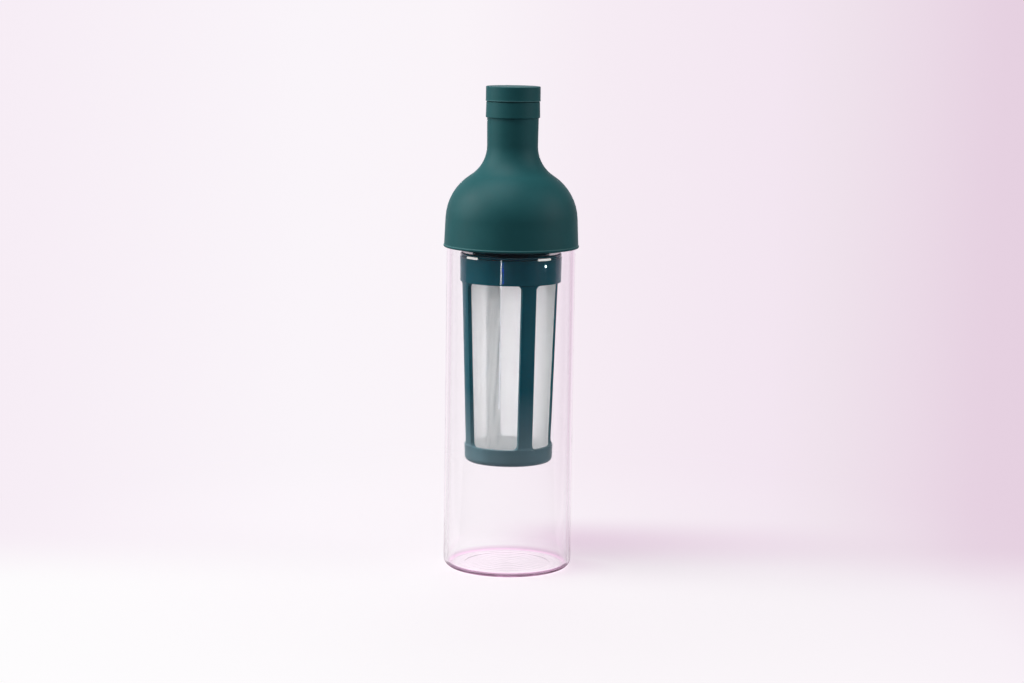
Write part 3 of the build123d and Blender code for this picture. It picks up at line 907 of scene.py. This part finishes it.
# ---------------------------------------------------------------------------- the studio
@dataclass(frozen=True)
class SoftLamp:
    """A large lamp that faces the bottle. Angles in degrees, lengths in metres."""

    name: str
    azimuth: float
    elevation: float
    distance: float
    size: Pair
    watts: float
    colour: str = "#ffffff"
    mirrored: bool = True          # whether glossy surfaces show it


@dataclass(frozen=True)
class LineLamp:
    """A long lamp that lies on the floor, points at the bottle and shines up."""

    name: str
    azimuth: float                 # degrees
    near: float                    # metres from the bottle's axis to its ends
    end: float
    width: float
    watts: float
    colour: str


@dataclass
class Studio:
    """Pale floor, soft lamps and the camera. Lengths in metres unless a comment says mm."""

    lens: float = 91.4             # mm
    sensor: float = 36.0           # mm
    clip: Pair = (0.05, 200.0)
    camera_place: Place = (0.00132, -1.6013, 0.3666)
    pitch: float = 7.99            # degrees down
    roll: float = 0.8              # degrees
    bounces: tuple[int, int, int] = (20, 12, 20)  # of all kinds, mirrored and let through
    room_light: str = "#f6f5f6"
    room_strength: float = 0.14
    wall_half: float = 58.0
    wall_away: float = 100.0
    wall_top: float = 42.0
    floor_radius: float = 120.0
    floor_drop: float = 0.0001     # keeps the paper clear of the foot
    floor_corners: int = 128
    paper: str = "#f8f3f8"
    backdrop: str = "#f3e8f1"
    walls_crossed: float = 3.5     # surfaces of glass: a ray that has met more has gone inside
    glass_lift: float = 1.13       # makes up for what four surfaces of glass turn away
    glass_walls: float = 4.0       # surfaces met where that lift is full
    painted_light_under_foot: float = 0.2         # painted light: emission added to the paper under the glass floor, for light that the floor gathers there
    painted_light_under_foot_span: Pair = (0.038, 0.033)  # distances where it begins and is full
    near_span: Pair = (0.1, 0.4)   # distances between which lit paper gives way
    near_share: float = 0.64       # share of the backdrop's own shade beside the bottle
    shade_depth: float = 1.6       # from the camera to the bottle's axis
    ahead_span: Pair = (0.08, -0.08)  # y where the apron begins and is full
    sweep: Stops = (
        (0.0, "#e2c4dc"), (0.41, "#f7eef6"), (0.46, "#faf5fa"), (0.49, "#faf4f9"),
        (0.515, "#f6ecf4"), (0.55, "#f3e6f1"), (0.563, "#efe2ec"), (0.578, "#ebdae7"),
        (0.592, "#e6d1e1"), (0.7, "#dfc6da"), (1.0, "#d8b4d0"))
    apron: Stops = (
        (0.0, "#e8d0e4"), (0.41, "#fdfcfd"), (0.47, "#fefcfe"), (0.515, "#fdf9fc"),
        (0.55, "#fbf6fa"), (0.578, "#f8f0f7"), (0.592, "#f4e9f2"), (0.8, "#e8d6e5"))
    room: Stops = ((0.0, "#40363d"), (0.5, "#484547"), (0.85, "#7c7a7c"), (0.93, "#f0e8ef"))
    painted_shadow: str = "#ead6e6"         # painted shadow: the pink of the strip beside the bottle where light is low
    painted_shadow_span: Pair = (0.034, 0.042)  # distances where it begins and is full
    shadow_strip_y: float = 0.074         # y of its middle line
    shadow_strip_half: float = 0.085      # from there to its sides
    shadow_strip_start: Pair = (-0.02, 0.05)  # x where it begins and is full
    shadow_strip_end: Pair = (0.27, 0.05)  # x where it ends and is full
    contact_shadow_place: Place = (0.036, 0.006, 0.0)  # painted contact shadow: the same pink beside the foot
    contact_shadow_radius: float = 0.045
    contact_shadow_share: float = 0.5
    aim: float = 0.15              # height that the soft lamps face
    soft_lamps: tuple[SoftLamp, ...] = (
        SoftLamp("key_left", -90.0, 27.0, 1.6, (1.0, 1.1), 14.0, "#fffdfa"),
        SoftLamp("fill_right", 80.0, 25.0, 1.6, (0.9, 1.1), 6.0, "#fdfcff"),
        SoftLamp("back_low", 180.0, 5.0, 1.9, (1.1, 0.5), 56.0, mirrored=False),
        SoftLamp("top", -60.0, 70.0, 1.4, (0.6, 0.6), 7.5),
    )
    line_level: float = 0.005
    line_lamps: tuple[LineLamp, ...] = (
        LineLamp("line_far", -17.0, 1.5, 1.79, 0.05, 0.75, "#ffffff"),
        LineLamp("line_near", -17.0, 0.65, 1.5, 0.03, 0.55, "#eceeff"),
        LineLamp("line_blue", -13.5, 1.56, 1.76, 0.04, 0.35, "#3048ff"),
    )
    dot_place: Place = (0.436, -0.2325, 0.1425)
    dot_aim: Place = (0.021, -0.034, 0.193)
    dot_size: Pair = (0.026, 0.0014)
    dot_watts: float = 0.026

    def build(self) -> None:
        """Make the stage, the lamps and the camera."""
        self.camera()
        self.light_paths()
        self.world()
        self.floor()
        self.wall()
        self.lamps()
        self.glints()

    def camera(self) -> None:
        """Place the camera."""
        data = bpy.data.cameras.new("camera")
        data.lens, data.sensor_width = self.lens, self.sensor
        data.clip_start, data.clip_end = self.clip
        camera = bpy.data.objects.new("camera", data)
        bpy.context.scene.collection.objects.link(camera)
        aim = Matrix.Rotation(math.radians(90 - self.pitch), 3, "X")
        rolled = aim @ Matrix.Rotation(math.radians(self.roll), 3, "Z")
        camera.matrix_world = Matrix.Translation(self.camera_place) @ rolled.to_4x4()
        bpy.context.scene.camera = camera

    def light_paths(self) -> None:
        """Let light be mirrored often enough to find its way out of the glass's thick foot."""
        paths = bpy.context.scene.cycles
        paths.max_bounces, paths.glossy_bounces, paths.transmission_bounces = self.bounces

    def world(self) -> None:
        """Even dim light, with the backdrop's colour where the camera, gloss and glass look."""
        world = bpy.data.worlds.new("studio")
        world.use_nodes = True
        tree = world.node_tree
        tree.nodes.clear()
        lit = add_node(tree, "Background", {"Color": linear(self.room_light),
                                            "Strength": self.room_strength})
        shown = add_node(tree, "Background", {"Color": linear(self.backdrop), "Strength": 1.0})
        seen = self.looked_at(tree, self.walls_crossed + 1)
        mix = add_node(tree, "MixShader", {0: seen, 1: lit.outputs[0], 2: shown.outputs[0]})
        add_node(tree, "OutputWorld", {"Surface": mix.outputs[0]})
        bpy.context.scene.world = world

    def looked_at(self, tree: Tree, walls: float, front: Socket | float = 0.0) -> Socket:
        """Add nodes that tell rays that look at the backdrop from rays that carry light.

        A ray that has crossed one wall of glass at most may also have been mirrored inside it,
        unless it has come out in front of the bottle.

        Args:
            tree: The node tree that takes them.
            walls: A ray that has met more surfaces of glass than this has gone inside.
            front: 1 where what the ray meets lies in front of the bottle.

        Returns:
            An output that is 1 for rays from the camera that have met nothing but glass.
        """
        path = add_node(tree, "LightPath").outputs
        seen = add_node(tree, "Math", {0: path["Is Camera Ray"], 1: path["Is Transmission Ray"]},
                        operation="MAXIMUM")
        deep = add_node(tree, "Math", {0: path["Transmission Depth"], 1: walls},
                        operation="GREATER_THAN")
        deep = add_node(tree, "Math", {0: deep.outputs[0], 1: front}, operation="MAXIMUM")
        mirrored = add_node(tree, "Math", {0: path["Glossy Depth"], 1: deep.outputs[0]},
                            operation="MULTIPLY")
        spread = add_node(tree, "Math", {0: path["Diffuse Depth"], 1: mirrored.outputs[0]},
                          operation="ADD")
        seen = add_node(tree, "Math", {0: seen.outputs[0], 1: spread.outputs[0]},
                        operation="SUBTRACT", use_clamp=True)
        return seen.outputs[0]

    def floor(self) -> None:
        """Make the paper floor: lit paper around the bottle, running out to a pale backdrop.

        Rays that carry light find it bright behind the bottle and dim all round, which depends
        on y / r.
        """
        azimuths = np.linspace(0, 2 * np.pi, self.floor_corners, endpoint=False)
        rim = np.stack([np.cos(azimuths), np.sin(azimuths), 0 * azimuths], axis=1)
        material, tree = new_tree("paper_backdrop")
        place = add_node(tree, "TexCoord").outputs["Object"]
        away = add_node(tree, "VectorMath", {0: place}, operation="LENGTH").outputs["Value"]
        apart = add_node(tree, "SeparateXYZ", {0: place}).outputs
        far = add_node(tree, "MapRange", {
            "Value": away, "From Min": self.near_span[0], "From Max": self.near_span[1],
            "To Min": self.near_share}, interpolation_type="SMOOTHSTEP")
        # painted shadow: pink mixed into the backdrop's shade beside the bottle, kept off the paper
        # under the glass
        outside = add_node(tree, "MapRange", {
            "Value": away, "From Min": self.painted_shadow_span[0], "From Max": self.painted_shadow_span[1]})
        painted_shadow_share = add_node(tree, "Math", {0: self.painted_shadow_strip(tree, place), 1: outside.outputs[0]},
                           operation="MULTIPLY").outputs[0]
        shade = add_node(tree, "Mix", {0: painted_shadow_share, 6: self.shade(tree, place),
                                       7: linear(self.painted_shadow)}, data_type="RGBA")
        behind = add_node(tree, "Math", {0: apart["Y"], 1: away}, operation="DIVIDE")
        behind = add_node(tree, "MapRange", {"Value": behind.outputs[0], "From Min": -1.0,
                                             "From Max": 1.0})
        dim = add_node(tree, "ValToRGB", {"Fac": behind.outputs[0]}, stops=self.room)
        front = add_node(tree, "Math", {0: apart["Y"], 1: 0.0}, operation="LESS_THAN")
        seen = self.looked_at(tree, self.walls_crossed, front.outputs[0])
        shown = add_node(tree, "Mix", {0: seen, 6: dim.outputs[0], 7: shade.outputs[2]},
                         data_type="RGBA")
        walls = add_node(tree, "LightPath").outputs["Transmission Depth"]
        lift = add_node(tree, "MapRange", {"Value": walls, "From Max": self.glass_walls,
                                           "To Min": 1.0, "To Max": self.glass_lift})
        # painted light: a brighter pool of paper under the glass floor
        under = add_node(tree, "MapRange", {
            "Value": away, "From Min": self.painted_light_under_foot_span[0], "From Max": self.painted_light_under_foot_span[1],
            "To Max": self.painted_light_under_foot})
        lift = add_node(tree, "Math", {0: lift.outputs[0], 1: under.outputs[0]}, operation="ADD")
        # painted shadow: the same pink mixed into the lit paper
        paper = add_node(tree, "Mix", {0: painted_shadow_share, 6: linear(self.paper),
                                       7: linear(self.painted_shadow)}, data_type="RGBA")
        near_look = add_node(tree, "BsdfDiffuse", {"Color": paper.outputs[2]})
        far_look = add_node(tree, "Emission", {"Color": shown.outputs[2],
                                               "Strength": lift.outputs[0]})
        mix = add_node(tree, "MixShader", {0: far.outputs[0], 1: near_look.outputs[0],
                                           2: far_look.outputs[0]})
        add_node(tree, "OutputMaterial", {"Surface": mix.outputs[0]})
        self.stage("floor", rim * self.floor_radius + [0, 0, -self.floor_drop], material)

    def shade(self, tree: Tree, place: Socket) -> Socket:
        """Add nodes for the backdrop's shade on the floor.

        It is a ramp over x / (|y| + shade_depth), so that it stays as wide far off as it is near.
        On the apron, in front of the bottle, it is a paler ramp.

        Args:
            tree: The node tree that takes them.
            place: The output that gives a point's place.

        Returns:
            The output that gives the shade.
        """
        apart = add_node(tree, "SeparateXYZ", {0: place}).outputs
        depth = add_node(tree, "Math", {0: apart["Y"]}, operation="ABSOLUTE")
        depth = add_node(tree, "Math", {0: depth.outputs[0], 1: self.shade_depth},
                         operation="ADD")
        across = add_node(tree, "Math", {0: apart["X"], 1: depth.outputs[0]}, operation="DIVIDE")
        across = add_node(tree, "MapRange", {"Value": across.outputs[0], "From Min": -1.0,
                                             "From Max": 1.0}).outputs[0]
        ahead = add_node(tree, "MapRange", {
            "Value": apart["Y"], "From Min": self.ahead_span[0], "From Max": self.ahead_span[1]},
            interpolation_type="SMOOTHSTEP")
        sweep = add_node(tree, "ValToRGB", {"Fac": across}, stops=self.sweep)
        apron = add_node(tree, "ValToRGB", {"Fac": across}, stops=self.apron)
        mix = add_node(tree, "Mix", {0: ahead.outputs[0], 6: sweep.outputs[0],
                                     7: apron.outputs[0]}, data_type="RGBA")
        return mix.outputs[2]

    def painted_shadow_strip(self, tree: Tree, place: Socket) -> Socket:
        """Add nodes for the painted shadow: the pink strip of paper to the right of the bottle, and
        the patch beside its foot.

        Args:
            tree: The node tree that takes them.
            place: The output that gives a point's place.

        Returns:
            An output that is 1 at the strip's middle line beside the bottle and fades to 0.
        """
        apart = add_node(tree, "SeparateXYZ", {0: place}).outputs
        off = add_node(tree, "Math", {0: apart["Y"], 1: -self.shadow_strip_y}, operation="ADD")
        off = add_node(tree, "Math", {0: off.outputs[0]}, operation="ABSOLUTE")
        across = add_node(tree, "MapRange", {"Value": off.outputs[0],
                                             "From Min": self.shadow_strip_half, "From Max": 0.0},
                          interpolation_type="SMOOTHSTEP")
        start = add_node(tree, "MapRange", {
            "Value": apart["X"], "From Min": self.shadow_strip_start[0],
            "From Max": self.shadow_strip_start[1]}, interpolation_type="SMOOTHSTEP")
        end = add_node(tree, "MapRange", {
            "Value": apart["X"], "From Min": self.shadow_strip_end[0], "From Max": self.shadow_strip_end[1]})
        along = add_node(tree, "Math", {0: start.outputs[0], 1: end.outputs[0]},
                         operation="MULTIPLY")
        mask = add_node(tree, "Math", {0: across.outputs[0], 1: along.outputs[0]},
                        operation="MULTIPLY")
        gap = add_node(tree, "VectorMath", {0: place, 1: self.contact_shadow_place}, operation="DISTANCE")
        close = add_node(tree, "MapRange", {
            "Value": gap.outputs["Value"], "From Min": self.contact_shadow_radius, "From Max": 0.0,
            "To Max": self.contact_shadow_share}, interpolation_type="SMOOTHSTEP")
        mask = add_node(tree, "Math", {0: mask.outputs[0], 1: close.outputs[0]},
                        operation="MAXIMUM")
        return mask.outputs[0]

    def wall(self) -> None:
        """Make the pale wall far behind the bottle, whose light grazes its level faces."""
        half, away, top = self.wall_half, self.wall_away, self.wall_top
        corners = np.array([[half, away, 0], [-half, away, 0], [-half, away, top],
                            [half, away, top]])
        material, tree = new_tree("wall_backdrop")
        glow = add_node(tree, "Emission", {"Color": linear(self.backdrop), "Strength": 1.0})
        add_node(tree, "OutputMaterial", {"Surface": glow.outputs[0]})
        self.stage("wall", corners, material)

    def stage(self, name: str, points: np.ndarray, material: bpy.types.Material) -> None:
        """Put a flat piece of the stage in.

        Args:
            name: Its name.
            points: Its corners, in order.
            material: Its material.
        """
        piece = put_in(name, points, [list(range(len(points)))])
        dress(piece, material)

    def hang(self, name: str, size: Pair, watts: float, colour: str,
             place: Matrix) -> bpy.types.Object:
        """Put a lamp in.

        Args:
            name: Its name.
            size: Width and height, in metres.
            watts: Its power.
            colour: Its colour.
            place: Where it is; it shines along its own -Z.

        Returns:
            The lamp.
        """
        data = bpy.data.lights.new(name, "AREA")
        data.shape, data.size, data.size_y = "RECTANGLE", *size
        data.energy, data.color = watts, linear(colour)[:3]
        lamp = bpy.data.objects.new(name, data)
        bpy.context.scene.collection.objects.link(lamp)
        lamp.matrix_world = place
        lamp.visible_camera = lamp.visible_transmission = False
        return lamp

    def lamps(self) -> None:
        """Hang the soft lamps."""
        for plan in self.soft_lamps:
            a, e = math.radians(plan.azimuth), math.radians(plan.elevation)
            out = Vector((math.sin(a) * math.cos(e), -math.cos(a) * math.cos(e), math.sin(e)))
            place = Matrix.Translation(Vector((0, 0, self.aim)) + out * plan.distance)
            turn = out.to_track_quat("Z", "Y").to_matrix().to_4x4()
            lamp = self.hang(plan.name, plan.size, plan.watts, plan.colour, place @ turn)
            lamp.visible_glossy = plan.mirrored

    def glints(self) -> None:
        """Lay low lamps that the glass mirrors as a thin upright line, and hang one for a dot."""
        for plan in self.line_lamps:
            a, middle = math.radians(plan.azimuth), (plan.near + plan.end) / 2
            place = Matrix.Translation((math.sin(a) * middle, -math.cos(a) * middle,
                                        self.line_level))
            turn = Matrix.Rotation(a, 4, "Z") @ Matrix.Rotation(math.pi, 4, "X")
            self.hang(plan.name, (plan.width, plan.end - plan.near), plan.watts, plan.colour,
                      place @ turn)
        spot = Vector(self.dot_place)
        turn = (spot - Vector(self.dot_aim)).to_track_quat("Z", "Y").to_matrix().to_4x4()
        self.hang("dot", self.dot_size, self.dot_watts, "#ffffff",
                  Matrix.Translation(spot) @ turn)


def main() -> None:
    """Build the bottle and its studio in order."""
    logging.basicConfig(level=logging.INFO, format="%(name)s: %(message)s")
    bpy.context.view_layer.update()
    bpy.context.scene.view_settings.view_transform = "Standard"
    GlassBottle().build()
    RubberTop().build()
    Strainer().build()
    Studio().build()


if __name__ == "__main__":
    main()
